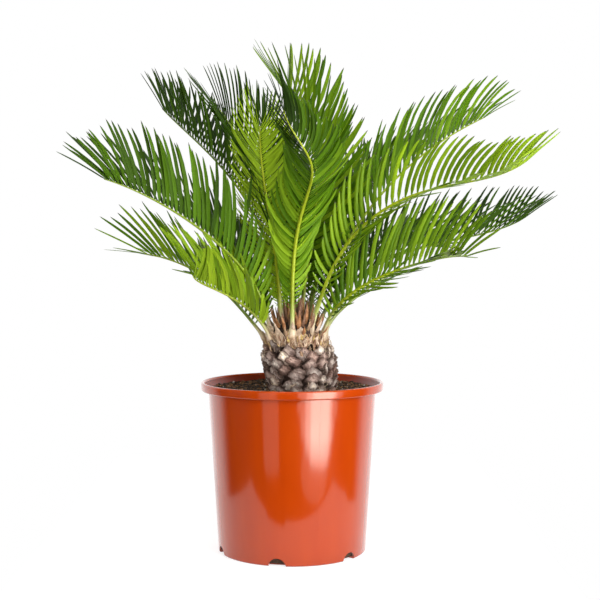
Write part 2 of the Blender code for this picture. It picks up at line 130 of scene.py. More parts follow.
# Leaflets at their real width and spacing
SPINES_FROM = 0.030
LEAFLET_SPREAD = 0.54
LEAFLET_HALF_THICKNESS = 0.00045
LEAFLET_ROLL = 5
LEAFLET_ARCH = 0.30
LEAFLET_CLUMP = 9
LEAFLET_SAG = 0.05
LEAFLET_REACH = (0.90, 1.03)
KEEL_SCATTER = 2.5
SLANT_SCATTER = 1.6
CURL_SCATTER = 3
ROLL_SCATTER = 9
LEAFLET_SEED = 100
FULL_CURL_SLANT = 58

# Slant between leaflet and rib, as stops from foot to tip
LEAFLET_SLANTS = ((0.05, 80), (0.25, 58), (0.5, 58), (0.75, 56), (0.90, 46), (0.97, 32), (1.0, 16))

FIELDS = "name heading seat rise turn length leaf curl keel roll shade pitch width"
Frond = namedtuple("Frond", FIELDS, defaults=(9.0, 6.2))

# shade is lower where a frond lies in shade and higher where light shines through it
# Lengths in mm, angles in degrees; rise, turn, keel, roll and shade as control values from foot to tip
# name: the node's name without frond_
# heading: the azimuth that the rib sets off in
# seat: azimuth, radius and height of the place where the rib leaves the crown
# rise: the rib's slope above level
# turn: how far the heading has turned, after a first value of 0
# length and leaf: the rib's and its longest leaflet's length
# curl: how far a leaflet that stands well off the rib bends towards the frond's tip
# keel: how far the two rows fold up from the frond's plane
# roll: how far the frond's right side is turned up about the rib
# shade: 0 for the oldest, darkest green, 1 for the youngest, lightest; partly painted shade and light as
# well
# pitch and width: the spacing and the width of its leaflets
FRONDS = [Frond(*row) for row in (
    ("front_left_low", 192, (212, 47, 350), (66, 38, 9, 23), (7, 0, 73),
     191, 135, 29, (52, 49), (22, 16), (0.85, 0.82), 7.6, 6.4),
    ("left_low", 167, (178, 50, 349), (50, 51, 22, 9), (-13, 1, -3),
     260, 137, 14, (31, 30), (22, -39), (0.6, 0.6), 8.4, 5.8),
    ("left_long", 198, (194, 44, 357), (89, 27, 43, 8), (-13, -21, 39),
     395, 139, 19, (49, 68), (-26, -6), (0.5, 0.2), 8.4, 6.2),
    ("left_steep", 153, (150, 30, 371), (90, 69, 30, 36), (0, 5, -20),
     465, 128, 21, (52, 59), (-10, -20), (0.25, 0.08), 7.8, 4.8),
    ("left_steepest", 146, (178, 21, 377), (99, 73, 54, 43), (-5, -7, -14),
     402, 138, 27, (53, 61), (23, 34), (0.35, 0.15), 7.4, 9.0),
    ("front_broad", 244, (205, 27, 371), (89, 72, 73, 49), (-17, 5, 30),
     336, 109, 27, (5, 7), (-9, 37), (0.9, 1), 3.6, 5.2),
    # front_curved: darker at its foot, painted shade of the crown; darker at its tip, partly its upper side
    # and partly painted shade under tallest
    ("front_curved", 290, (263, 45, 357), (87, 112, -47, 74), (-18, 45, -103),
     434, 105, 50, (21, 33), (18, -5), (0.35, 0.85, 0.55, -0.2), 6.8, 6.2),
    ("tallest", 141, (40, 17, 379), (90, 112, 94, 27), (33, 75, -48),
     417, 143, 22, (41, 51), (-36, 15), (0.4, 0.7), 8.6, 7.0),
    ("right_high", 16, (10, 24, 375), (69, 63, 34, 22), (-6, 0, 18),
     490, 141, 40, (51, 46), (24, 33), (0.2, 0.55), 10.2, 5.8),
    ("right_long", 349, (311, 36, 363), (71, 87, -42, 29), (27, -34, -31),
     487, 118, 28, (38, 70), (-72, -62), (0.7, 0.85), 11.0, 6.2),
    ("right_dark", 21, (24, 36, 364), (65, 19, -5, 23), (-4, -17, 15),
     444, 124, 20, (49, 58), (-9, -15), (0.15, 0.1), 10.4, 4.6),
    ("right_low", 329, (340, 46, 353), (78, 7, 28, -5), (23, 16, -35),
     311, 127, 19, (36, 49), (-67, -37), (0.6, 0.7), 8.6, 6.4),
    ("right_short", 8, (8, 48, 350), (84, 16, 49, 23), (-3, 1, -5),
     155, 90, 28, (24, 20), (27, 39), (0.4, 0.4), 8.6, 5.4),
    ("back_left_high", 112, (112, 20, 374), (88, 80, 60, 40), (0,),
     400, 105, 26, (40, 50), (12, -10), (0.15, 0.3)),
    ("back_high", 92, (94, 31, 368), (82, 68, 40, 0), (0,),
     400, 105, 24, (38, 48), (-14, 8), (0.25, 0.4)),
    ("back_right_high", 68, (70, 27, 372), (84, 68, 38, 0), (0,),
     360, 95, 28, (36, 50), (10, -12), (0.25, 0.4)),
    ("back_right_tall", 38, (42, 28, 371), (80, 66, 40, 12), (0,),
     410, 100, 24, (42, 52), (-10, 14), (0.35, 0.5)),
    ("back_left", 139, (136, 40, 360), (30, 78, 35, 34), (-24, 14, 27),
     281, 92, 29, (50, 53), (-11, -2), (0.25, 0.4)),
    ("back_low", 102, (102, 46, 353), (66, 38, 8, -18), (0,),
     370, 105, 26, (36, 50), (14, -6), (0.25, 0.4)),
    ("back_right_low", 72, (72, 46, 353), (66, 40, 8, -18), (0,),
     370, 105, 30, (38, 46), (-12, 10), (0.25, 0.4)),
    ("right_back_low", 46, (46, 47, 351), (66, 38, 8, -12), (0,),
     380, 105, 24, (40, 52), (8, -12), (0.25, 0.4)),
    ("left_back_low", 150, (152, 47, 351), (62, 50, 30, 0), (0,),
     170, 85, 28, (42, 46), (0, 0), (0.35, 0.5)),
)]

# A leaflet's cross-section, from its right edge over the top: across in half widths, up in half thicknesses
LEAFLET_SECTION = (
    (1.00, -0.30), (0.55, 0.60), (0.00, 0.10), (-0.55, 0.60),
    (-1.00, -0.30), (-0.26, -0.40), (0.00, -1.10), (0.26, -0.40),
)
UPPER_SIDES = 4

# Places along a leaflet from root to tip, and its width there
LEAFLET_WIDTHS = (
    (0.00, 0.45), (0.03, 0.55), (0.10, 0.95), (0.28, 1.00),
    (0.50, 0.99), (0.72, 0.90), (0.87, 0.66), (0.96, 0.32),
)
TIP_BAND = 7

# Greens from the darkest frond to the lightest, as stops
UPPER_GREENS = ((0.0, (0.014, 0.034, 0.004)), (0.5, (0.055, 0.13, 0.002)), (1.0, (0.27, 0.42, 0.01)))
# Undersides are lighter than upper sides; the lightest stop is raised further with painted light, for light
# shining through the leaflets
UNDER_GREENS = ((0.0, (0.022, 0.05, 0.005)), (0.5, (0.085, 0.19, 0.003)), (1.0, (0.415, 0.615, 0.024)))
TIP_GREENS = ((0.0, (0.02, 0.02, 0.014)), (1.0, (0.095, 0.095, 0.04)))
RIB_GREENS = ((0.0, (0.06, 0.12, 0.01)), (0.5, (0.24, 0.33, 0.01)), (1.0, (0.42, 0.48, 0.008)))
GREEN_STEPS = 12
GREEN_SCATTER = 1.3

# A leaflet's parts: name, greens, roughness and specular level
LEAF_SIDES = (
    ("upper", UPPER_GREENS, 0.4, 0.16),
    ("under", UNDER_GREENS, 0.5, 0.1),
    ("tip", TIP_GREENS, 0.5, 0.5),
)
RIB_TONES = 10

# Mottled looks: name, dark and light colour, cycles of noise to the metre, roughness, relief if not 0.4
MOTTLED = (
    ("scale_brown", (0.09, 0.04, 0.022), (0.3, 0.15, 0.085), 240, 0.6),
    ("scale_red", (0.14, 0.04, 0.012), (0.56, 0.26, 0.1), 150, 0.55),
    ("scale_tan", (0.2, 0.11, 0.06), (0.48, 0.31, 0.18), 240, 0.65),
    ("scale_cream", (0.38, 0.24, 0.15), (0.8, 0.62, 0.46), 200, 0.6),
    ("scale_ochre", (0.3, 0.18, 0.04), (0.66, 0.48, 0.18), 260, 0.6),
    ("soil", (0.018, 0.008, 0.004), (0.085, 0.04, 0.018), 420, 0.95, 0.9),
    ("crumb_dark", (0.012, 0.007, 0.005), (0.048, 0.026, 0.014), 500, 0.95),
    ("crumb_mid", (0.08, 0.034, 0.012), (0.22, 0.11, 0.044), 500, 0.9),
    ("bark_chip", (0.11, 0.05, 0.018), (0.33, 0.17, 0.06), 500, 0.85),
    ("perlite", (0.52, 0.47, 0.4), (0.8, 0.76, 0.7), 500, 0.8),
)

# Bark: painted shade in the gaps between stubs up to worn tops with some painted highlight; a tint for each
# stub
BARK_SHADING_AND_WEAR = (
    (0.0, (0.024, 0.014, 0.009)),
    (0.12, (0.075, 0.048, 0.036)),
    (0.32, (0.195, 0.145, 0.122)),
    (0.62, (0.33, 0.275, 0.24)),
    (0.92, (0.64, 0.58, 0.51)),
)
STUB_TINTS = (
    (0.0, (0.75, 0.55, 0.5)),
    (0.4, (0.85, 0.78, 0.78)),
    (0.8, (1.1, 1.06, 1.04)),
    (1.0, (1.7, 1.62, 1.5)),
)

# Pot: radii and heights as in the model
POT_STEPS = 192
RIM_DEPTH = 0.0135
WALL = 0.0025
FLOOR_THICKNESS = 0.003
BODY_TOP_RADIUS = 0.1377
BODY_BASE_RADIUS = 0.1215
BASE_CORNER = 0.003
NOTCH_COUNT = 6
NOTCH_FIRST_AZIMUTH = 19
NOTCH_HEIGHT = 0.013
NOTCH_WIDTH = 0.028
NOTCH_REACH = (0.108, 0.130)
SEAM_AZIMUTHS = (289, 109)
POT_ORANGE = (0.48, 0.05, 0.0005)
POT_TONES = ((0.25, (0.43, 0.04, 0.0004)), (0.75, (0.48, 0.05, 0.0004)))

# Camera, fitted to the photograph
CAMERA_PLACE = (0.013, -2.03, 0.502)
IMAGE_SIZE = 600
FOCAL_PIXELS = 1237
HORIZON_PIXEL = 245
SENSOR_WIDTH = 36

# Softboxes that gloss doesn't show: name, azimuth, distance, lower and upper edge, width, radiance
SOFTBOXES = (
    ("fill", -98, 2.6, 0.1, 2.4, 2.6, 1.7),
    ("key", -52, 1.1, -0.1, 1.1, 0.8, 6.0),
    ("side", -160, 1.4, -0.1, 1.1, 0.8, 2.6),
)

# A panel overhead: place, size, radiance and turn
OVERHEAD = ((0.2, -0.5, 2.0), (1.4, 1.4), 2.2, (math.radians(-14), 0, 0))

# Panels that only gloss shows, as streaks down the pot: azimuth, width, lower edge and radiance
GLOSS_PANELS = (
    (-57.5, 0.56, 0.10, 2.0),
    (-57.5, 0.46, 0.05, 2.8),
    (-56.5, 0.36, 0.02, 4.0),
    (-55.0, 0.25, 0.00, 5.0),
    (-116, 0.20, 0.00, 0.9),
    (-116, 0.10, 0.05, 0.9),
)
GLOSS_DISTANCE = 0.58
GLOSS_TOP = 0.60
GLOSS_WHITE = (1.0, 1.0, 0.90)

# A dim oval of light on the floor, which only gloss shows
OVAL_AZIMUTH = -62
OVAL_DISTANCE = 0.62
OVAL_HEIGHT = 0.004
OVAL_SIZE = (0.34, 0.50)
OVAL_RADIANCE = 0.7

# The room round the plant, from the camera's side to behind the plant
ROOM_EDGES = (0.15, 0.50)
ROOM_BRIGHTNESS = (0.015, 1.20)

# Floor: the sheet's corners, its grey and its glow
FLOOR_CORNERS = ((0.42, -0.30), (0.42, 0.9), (-0.42, 0.9), (-0.42, -0.30))
FLOOR_HEIGHTS = (-0.01, -0.0005)
FLOOR_GREY = (0.45, 0.45, 0.45)
FLOOR_GLOW = 0.74


def blend(low, high, share):
    """The value that lies a share of the way from low to high."""
    return low + (high - low) * share


def through(place, stops):
    """The value at a place on a line through (place, value) stops."""
    for (start, low), (end, high) in zip(stops, stops[1:]):
        if place <= end:
            return blend(low, high, max(0.0, (place - start) / (end - start)))
    return stops[-1][1]


def through_colours(place, stops):
    """The colour at a place on a line through (place, colour) stops."""
    return tuple(through(place, [(stop, colour[channel]) for stop, colour in stops]) for channel in range(3))


def bezier(place, values):
    """A smooth value from the first of a few control values to the last."""
    while len(values) > 1:
        values = [blend(low, high, place) for low, high in zip(values, values[1:])]
    return values[0]


def around(radius, azimuth, height, centre_x=0.0):
    """A point at a radius and azimuth about a vertical line through centre_x."""
    angle = math.radians(azimuth)
    return Vector((centre_x + radius * math.cos(angle), radius * math.sin(angle), height))


def add_object(name, data, place=(0, 0, 0), turn=(0, 0, 0)):
    """An object in the scene."""
    thing = bpy.data.objects.new(name, data)
    thing.location = place
    thing.rotation_euler = turn
    bpy.context.scene.collection.objects.link(thing)
    return thing


class Shell:
    """Closed shapes that are joined into one mesh, with a material's name for each face."""

    def __init__(self):
        self.points = []
        self.faces = []
        self.looks = []
        self.values = {}

    def mark(self, name, value):
        """Give all points added since the last mark the same value."""
        values = self.values.setdefault(name, [])
        values += [value] * (len(self.points) - len(values))

    def loft(self, rings, look, tip=None):
        """A closed shape through rings of points, ended by a cap or a tip."""
        start = len(self.points)
        size = len(rings[0])
        for ring in rings:
            self.points += ring
        for band in range(len(rings) - 1):
            low = start + band * size
            for side in range(size):
                after = (side + 1) % size
                self.faces.append((low + side, low + after, low + size + after, low + size + side))
                self.looks.append(look(band, side))
        last = start + (len(rings) - 1) * size
        if tip is None:
            self.faces.append(tuple(range(last, last + size)))
            self.looks.append(look(len(rings) - 2, 0))
        else:
            self.points.append(tip)
            for side in range(size):
                self.faces.append((last + side, last + (side + 1) % size, last + size))
                self.looks.append(look(len(rings) - 1, side))
        self.faces.append(tuple(reversed(range(start, start + size))))
        self.looks.append(look(0, 0))

    def build(self, name, materials, sharp=50):
        """The mesh object, with only the materials that its faces use."""
        used = sorted(set(self.looks))
        data = bpy.data.meshes.new(name)
        data.from_pydata(self.points, [], self.faces)
        for look in used:
            data.materials.append(materials[look])
        index = {look: number for number, look in enumerate(used)}
        data.polygons.foreach_set("material_index", [index[look] for look in self.looks])
        for key, values in self.values.items():
            attribute = data.attributes.new(key, "FLOAT", "POINT")
            attribute.data.foreach_set("value", values)
        data.shade_smooth()
        data.set_sharp_from_angle(angle=math.radians(sharp))
        return add_object(name, data)


def oval(centre, wide, high, steps):
    """A ring of points on an ellipse with the half axes wide and high."""
    angles = [2 * math.pi * step / steps for step in range(steps)]
    return [centre + wide * math.cos(angle) + high * math.sin(angle) for angle in angles]


def circle(radius, height, steps, centre_x=0.0):
    """A level ring of points about a vertical line through centre_x."""
    return oval(Vector((centre_x, 0, height)), Vector((radius, 0, 0)), Vector((0, radius, 0)), steps)


class Rib:
    """A frond's rib: a point, a direction, an upper side and a right side at each place from 0 to 1."""

    def __init__(self, frond):
        azimuth, radius, height = frond.seat
        self.frond = frond
        self.length = frond.length / 1000
        self.points = [around(radius / 1000, azimuth, height / 1000, CROWN_X)]
        for step in range(FINE_STEPS):
            along = self.direction((step + 0.5) / FINE_STEPS)
            self.points.append(self.points[-1] + along * self.length / FINE_STEPS)

    def angles(self, place):
        """The rib's slope and heading, in radians."""
        heading = self.frond.heading + bezier(place, (0,) + self.frond.turn)
        return math.radians(bezier(place, self.frond.rise)), math.radians(heading)

    def direction(self, place):
        """The way the rib runs."""
        rise, heading = self.angles(place)
        level = math.cos(rise)
        return Vector((level * math.cos(heading), level * math.sin(heading), math.sin(rise)))

    def frame(self, place):
        """The point, the direction, the upper side and the right side."""
        rise, heading = self.angles(place)
        along = self.direction(place)
        sink = -math.sin(rise)
        up = Vector((sink * math.cos(heading), sink * math.sin(heading), math.cos(rise)))
        step = min(max(place, 0.0) * FINE_STEPS, FINE_STEPS - 1e-6)
        low = int(step)
        point = self.points[low].lerp(self.points[low + 1], step - low)
        beyond = min(place, 0.0) + max(place - 1.0, 0.0)
        roll = math.radians(bezier(place - beyond, self.frond.roll))
        right = along.cross(up)
        rolled_up = up * math.cos(roll) - right * math.sin(roll)
        rolled_right = right * math.cos(roll) + up * math.sin(roll)
        return point + along * beyond * self.length, along, rolled_up, rolled_right

    def half_width(self, place):
        """Half the rib's thickness."""
        return blend(RIB_HALF_TIP, RIB_HALF_FOOT, max(0.0, 1 - place) ** 0.8)


def leaf_length(rib, place):
    """A leaflet's length: short near the frond's foot, then full, and less again at its tip."""
    grow = min(1.0, max(0.06, (place - 0.07) / 0.28))
    shrink = 1 - 0.25 * max(0.0, (place - 0.5) / 0.5) ** 2
    return rib.frond.leaf / 1000 * grow * shrink


def green_step(share, rng):
    """A step of the greens, near a share of the way from dark to light."""
    return min(GREEN_STEPS, max(0, round(share * GREEN_STEPS + rng.gauss(0, GREEN_SCATTER))))


def add_leaflet(shell, rib, place, side, rng):
    """One leaflet: a thin arched blade with a midrib, that curves towards the frond's tip and sags."""
    point, along, up, right = rib.frame(place)
    keel = math.radians(bezier(place, rib.frond.keel) + rng.gauss(0, KEEL_SCATTER))
    out = right * side * math.cos(keel) + up * math.sin(keel)
    clump = LEAFLET_CLUMP * noise.noise(Vector((place * 12, side * 3.3, rib.frond.heading * 0.37)))
    slant = math.radians(through(place, LEAFLET_SLANTS) + clump + rng.gauss(0, SLANT_SCATTER))
    curl = math.radians(rib.frond.curl + rng.gauss(0, CURL_SCATTER))
    curl *= min(1.0, slant / math.radians(FULL_CURL_SLANT))
    length = leaf_length(rib, place) * rng.uniform(*LEAFLET_REACH)
    sag = length * rng.uniform(0.0, LEAFLET_SAG)
    roll = math.radians(LEAFLET_ROLL + rng.gauss(0, ROLL_SCATTER))
    root = point + right * side * rib.half_width(place) * 0.7 + up * rib.half_width(place) * 0.35
    first = along * math.cos(slant) + out * math.sin(slant)
    last = along * math.cos(slant - curl) + out * math.sin(slant - curl)
    spread = LEAFLET_SPREAD * rib.frond.pitch / 1000 * math.sin(slant)
    half = min(rib.frond.width / 2000, length / 16, spread)
    rings = []
    for share, width in LEAFLET_WIDTHS:
        centre = root + (first + (last - first) * share / 2) * length * share
        centre -= Vector((0, 0, sag * share ** 2))
        heading = first + (last - first) * share - Vector((0, 0, 2 * sag / length * share))
        heading.normalize()
        across = heading.cross(along.cross(out)).normalized()
        face = across.cross(heading)
        if face.dot(up) < 0:
            face.negate()
        face = (face + across * math.sin(roll)).normalized()
        wide = face.cross(heading)
        thin = LEAFLET_HALF_THICKNESS * min(1.0, 0.45 + width * 0.6)
        arch = half * width * LEAFLET_ARCH
        rings.append([
            centre + wide * half * width * x + face * (thin * z - arch * x * x)
            for x, z in LEAFLET_SECTION
        ])
    tip = root + (first + (last - first) / 2) * length - Vector((0, 0, sag))
    # The tone follows the frond's shade values, which hold painted light and shade as well as the green of
    # its age
    tone = green_step(bezier(place, rib.frond.shade), rng)

    def look(band, edge):
        if band >= TIP_BAND:
            return f"tip_{tone:02d}"
        return f"upper_{tone:02d}" if edge < UPPER_SIDES else f"under_{tone:02d}"

    shell.loft(rings, look, tip)


def leaflets_mesh(rib, rng, materials):
    """Both rows of leaflets of one frond, from the spines near its foot to its tip."""
    shell = Shell()
    first = SPINES_FROM / rib.length
    last = 1 - 0.002 / rib.length
    count = round(rib.length * (last - first) / (rib.frond.pitch / 1000))
    for number in range(count + 1):
        for side in (1, -1):
            place = blend(first, last, number / count) + rng.gauss(0, 0.0005) / rib.length
            add_leaflet(shell, rib, min(place, last), side, rng)
    return shell.build(f"leaflets_{rib.frond.name}", materials)


def rib_section(centre, along, up, half, thick):
    """A ring round a rib: round below, flatter and grooved above."""
    wide = up.cross(along)
    ring = []
    for step in range(RIB_SIDES):
        angle = 2 * math.pi * step / RIB_SIDES
        x = math.cos(angle)
        z = math.sin(angle)
        if z > 0:
            z = 0.55 * z - 0.25 * max(0.0, 1 - abs(x) / 0.45)
        ring.append(centre + wide * half * x + up * thick * z)
    return ring


def rib_mesh(rib, materials):
    """A frond's stalk and rib, with a swollen pale foot that sits in the crown."""
    shell = Shell()
    last = rib.length + RIB_TIP * 0.5
    distances = list(RIB_FOOT_RINGS)
    distances += [blend(0.040, last, step / RIB_STEPS) for step in range(RIB_STEPS + 1)]
    rings = []
    for distance in distances:
        place = distance / rib.length
        point, along, up, _ = rib.frame(place)
        swell = 0.0046 * math.exp(-((distance + 0.002) / 0.011) ** 2)
        half = rib.half_width(min(1.0, max(0.0, place))) + swell
        rings.append(rib_section(point, along, up, half, half - swell * 0.25))
    look = f"rib_{round(max(rib.frond.shade) * RIB_TONES):02d}"
    shell.loft(rings, lambda band, side: look, rib.frame(1 + RIB_TIP / rib.length)[0])
    from_foot = [distance for distance in distances for _ in range(RIB_SIDES)]
    shell.values["from_foot"] = from_foot + [rib.length]
    return shell.build(f"rib_{rib.frond.name}", materials)


def trunk_centre(height):
    """The trunk leans: its axis moves left from the foot to the crown."""
    share = min(1.0, (height - SOIL_LEVEL) / (DOME_FOOT - SOIL_LEVEL))
    return blend(TRUNK_FOOT_X, CROWN_X, share)


def trunk_radius(height):
    """A barrel, closed above by a low dome."""
    foot = min(height, DOME_FOOT)
    radius = BARREL_RADIUS - BARREL_BEND * (foot - BARREL_MIDDLE) ** 2
    if height > DOME_FOOT:
        radius *= math.sqrt(max(0.0, 1 - ((height - DOME_FOOT) / DOME_RISE) ** 2))
    return radius


def trunk_frame(azimuth, height):
    """A point on the trunk's surface, with its sideways, upward and outward directions."""
    point = around(trunk_radius(height), azimuth, height, trunk_centre(height))
    step = 0.0005
    above = around(trunk_radius(height + step), azimuth, height + step, trunk_centre(height + step))
    up = (above - point).normalized()
    angle = math.radians(azimuth)
    side = Vector((-math.sin(angle), math.cos(angle), 0))
    return point, side, up, side.cross(up).normalized()


def roughened(point, out, depth, scale):
    """A point moved one way or the other by noise."""
    return point + out * depth * noise.noise(point * scale)


def add_stub(shell, azimuth, height, width, tall, bulge, age, rng):
    """One stub: a rounded diamond that leans upward, with a worn, slightly hollow top."""
    point, side, up, out = trunk_frame(azimuth, height)
    roundness = blend(0.98, 1.30, age)
    wide = width * rng.uniform(0.85, 1.12) / 2
    high = tall * rng.uniform(0.80, 1.12) / 2
    bulge = bulge * rng.uniform(0.60, 1.30)
    lean = blend(0.9, 0.35, age) * rng.uniform(0.7, 1.3)
    tilt = rng.gauss(0, 0.24)
    skew = rng.gauss(0, 0.22)
    rings = []
    crests = []
    for reach, lift in STUB_RINGS:
        ring = []
        for step in range(STUB_STEPS):
            angle = 2 * math.pi * step / STUB_STEPS
            cos, sin = math.cos(angle), math.sin(angle)
            spread = (abs(cos) ** roundness + abs(sin) ** roundness) ** (-1 / roundness)
            x = wide * reach * spread * cos
            y = high * reach * spread * sin
            z = bulge * lift if lift > 0 else STUB_SINK * lift
            if lift > 0:
                y += z * lean
                z += y * 0.25 + x * tilt
            place = point + side * (x + y * skew) + up * y + out * z
            for way, depth, scale in ((up, 0.0026, 150), (out, 0.0026, 240), (out, 0.0018, 560)):
                place = roughened(place, way, depth, scale)
            ring.append(place)
        rings.append(ring)
        # Crest is low at the stub's foot and outline, darkened there as painted shade, and high at its top,
        # lightened partly as painted highlight
        crests += [max(0.0, 1.15 - reach)] * STUB_STEPS
    top = point + up * bulge * 0.85 * lean + out * bulge * 0.85
    shell.loft(rings, lambda band, edge: "bark", roughened(top, out, 0.0011, 220))
    shell.values.setdefault("crest", []).extend(crests + [1.1])
    shell.mark("tone", rng.random())


def trunk_mesh(rng, materials):
    """The trunk: a core in the darkest bark, painted shade between the stubs, covered with staggered rows of
    stubs.
    """
    shell = Shell()
    low = SOIL_LEVEL
    heights = [blend(low, DOME_TOP - 0.004, step / CORE_STEPS) for step in range(CORE_STEPS + 1)]
    rings = []
    for height in heights:
        radius = max(0.004, trunk_radius(height) - CORE_INSET)
        rings.append(circle(radius, height, CORE_SIDES, trunk_centre(height)))
    shell.loft(rings, lambda band, side: "bark")
    # Crest 0 gives the core the darkest bark: painted shade where it shows between the stubs
    shell.mark("crest", 0.0)
    shell.mark("tone", 0.3)
    pitch = (DOME_FOOT - low) / STUB_ROWS
    for row in range(STUB_ROWS + 2):
        height = low + STUB_FIRST + row * pitch
        if height > STUB_TOP:
            break
        age = min(1.0, max(0.0, 1.15 - row / STUB_ROWS))
        girth = 2 * math.pi * trunk_radius(height)
        for number in range(STUBS_AROUND):
            azimuth = (number + row % 2 / 2) * 360 / STUBS_AROUND + rng.gauss(0, 4.0)
            jitter = rng.gauss(0, 0.0030)
            width = girth / STUBS_AROUND * STUB_WIDTH
            bulge = STUB_BULGE * blend(1.15, 1.0, age)
            add_stub(shell, azimuth, height + jitter, width, pitch * STUB_HEIGHT, bulge, age, rng)
    return shell.build("trunk_bark", materials, 28)


def add_blade(shell, root, heading, inward, length, half, thick, bend, look, sharpness=1.0):
    """A pointed, cupped scale that bends towards its inner side."""
    rings = []
    point = root.copy()
    for step in range(SCALE_STEPS):
        share = step / SCALE_STEPS
        turned = (heading + inward * bend * (share - 0.35)).normalized()
        face = (inward - turned * inward.dot(turned)).normalized()
        wide = face.cross(turned)
        width = half * (1 - share ** (1.6 * sharpness)) * (0.75 + 0.5 * min(1.0, share * 4))
        cup = half * 0.45 * (1 - share)
        ring = []
        for x, z in SCALE_SECTION:
            inset = cup * max(0.0, abs(x) - 0.2) + thick * z
            ring.append(point + wide * width * x + face * inset)
        rings.append(ring)
        point = point + turned * length / SCALE_STEPS
    shell.loft(rings, lambda band, side: look, point)


def crown_scales_mesh(rng, materials):
    """Dry pointed scales between the fronds' feet, and the bud in the middle of the crown."""
    shell = Shell()
    centre = Vector((CROWN_X, 0, BUD_LOW.z))
    for number in range(CROWN_SCALES):
        share = (number + 0.5) / CROWN_SCALES
        radius = 0.050 * math.sqrt(share)
        azimuth = number * GOLDEN_ANGLE
        height = DOME_FOOT + DOME_RISE * math.sqrt(max(0.0, 1 - (radius / 0.0515) ** 2)) - 0.004
        root = around(radius, azimuth, height, CROWN_X)
        away = around(1.0, azimuth, 0)
        heading = (UPWARD + away * blend(0.05, 0.65, share ** 1.5)).normalized()
        length = blend(0.044, 0.020, share) * rng.uniform(0.70, 1.1)
        half = rng.uniform(0.0026, 0.0040)
        looks = INNER_LOOKS if share < 0.7 else OUTER_LOOKS
        bend = rng.uniform(-0.2, 0.7)
        add_blade(shell, root, heading, -away, length, half, 0.0007, bend, rng.choice(looks))
    for number in range(BUD_SCALES):
        away = around(1.0, number * GOLDEN_ANGLE, 0)
        root = centre + away * 0.0055 * math.sqrt(number / BUD_SCALES) - Vector((0, 0, 0.004))
        heading = (UPWARD + away * 0.12).normalized()
        length = min(0.036, BUD_HIGH.z - BUD_LOW.z + 0.004) * rng.uniform(0.8, 1.0)
        add_blade(shell, root, heading, -away, length, 0.0036, 0.0008, 0.3, "scale_brown")
    return shell.build("crown_scales", materials)


def leaf_bases_mesh(rng, materials):
    """Pale swollen leaf bases and torn scales round the crown's edge."""
    shell = Shell()
    for number in range(LEAF_BASES):
        azimuth = number * GOLDEN_ANGLE + rng.gauss(0, 4)
        point, side, up, out = trunk_frame(azimuth, blend(*BASE_HEIGHTS, number / LEAF_BASES))
        heading = (up + out * rng.uniform(0.10, 0.35) + side * rng.gauss(0, 0.15)).normalized()
        look = rng.choice(("scale_cream", "scale_cream", "scale_tan"))
        half = rng.uniform(0.0060, 0.0095)
        length = rng.uniform(0.016, 0.026)
        bend = rng.uniform(0.2, 0.7)
        add_blade(shell, point - out * 0.004, heading, -out, length, half, 0.0022, bend, look, 1.5)
    for _ in range(TORN_SCALES):
        azimuth = rng.uniform(0, 360)
        height = rng.triangular(*TORN_HEIGHTS)
        point, side, up, out = trunk_frame(azimuth, height)
        heading = (up + out * rng.uniform(0.1, 0.9) + side * rng.gauss(0, 0.55)).normalized()
        look = rng.choice(TORN_LOOKS)
        half = rng.uniform(0.0008, 0.0030)
        length = rng.uniform(0.006, 0.017)
        bend = rng.uniform(-0.6, 0.9)
        add_blade(shell, point + out * 0.001, heading, -out, length, half, 0.0005, bend, look, 1.1)
    return shell.build("leaf_bases", materials)


def fibres_mesh(rng, materials):
    """Thin dry fibres round the trunk's shoulder and foot."""
    shell = Shell()
    for number in range(FIBRES):
        azimuth = rng.uniform(0, 360)
        height = rng.uniform(*(SHOULDER_HEIGHTS if number % 3 else FOOT_HEIGHTS))
        point, side, up, out = trunk_frame(azimuth, height)
        length = rng.uniform(0.012, 0.026)
        way = (side * rng.gauss(0, 1) + up * rng.uniform(-1.0, 0.2)).normalized()
        start = point + out * 0.002
        bulge = out * rng.uniform(0.003, 0.007)
        half = rng.uniform(0.00022, 0.00040)
        rings = []
        for step in range(SCALE_STEPS):
            share = step / SCALE_STEPS
            centre = start + way * length * share + bulge * math.sin(math.pi * min(1.0, share * 1.2))
            rings.append(oval(centre, side * half, up.cross(side).normalized() * half + up * half, 4))
        shell.loft(rings, lambda band, edge: "fibre")
    return shell.build("fibres", materials)


def lump_points():
    """The points and faces of a small round lump."""
    mesh = bmesh.new()
    bmesh.ops.create_icosphere(mesh, subdivisions=1, radius=1.0)
    points = [vert.co.copy() for vert in mesh.verts]
    faces = [tuple(vert.index for vert in face.verts) for face in mesh.faces]
    mesh.free()
    return points, faces


def add_lump(shell, lump, centre, size, flat, look, rng):
    """A grain: an uneven round lump, flattened and turned at random."""
    points, faces = lump
    start = len(shell.points)
    turn = Matrix.Rotation(rng.uniform(0, 2 * math.pi), 3, "Z") @ Matrix.Rotation(rng.gauss(0, 0.5), 3, "X")
    stretch = Vector((size * rng.uniform(0.8, 1.3), size * rng.uniform(0.7, 1.1), size * flat))
    for point in points:
        uneven = 1 + rng.uniform(-0.22, 0.22)
        shell.points.append(centre + turn @ (point * stretch * uneven))
    for face in faces:
        shell.faces.append(tuple(start + index for index in face))
        shell.looks.append(look)


def soil_height(x, y):
    """The soil's surface: low mounds, and a little higher at the wall."""
    radius = math.hypot(x, y)
    mounds = 0.0022 * noise.noise(Vector((x, y, 0)) * 28) + 0.0009 * noise.noise(Vector((x, y, 3)) * 110)
    return SOIL_LEVEL + mounds + 0.003 * max(0.0, (radius - 0.075) / 0.055) ** 2


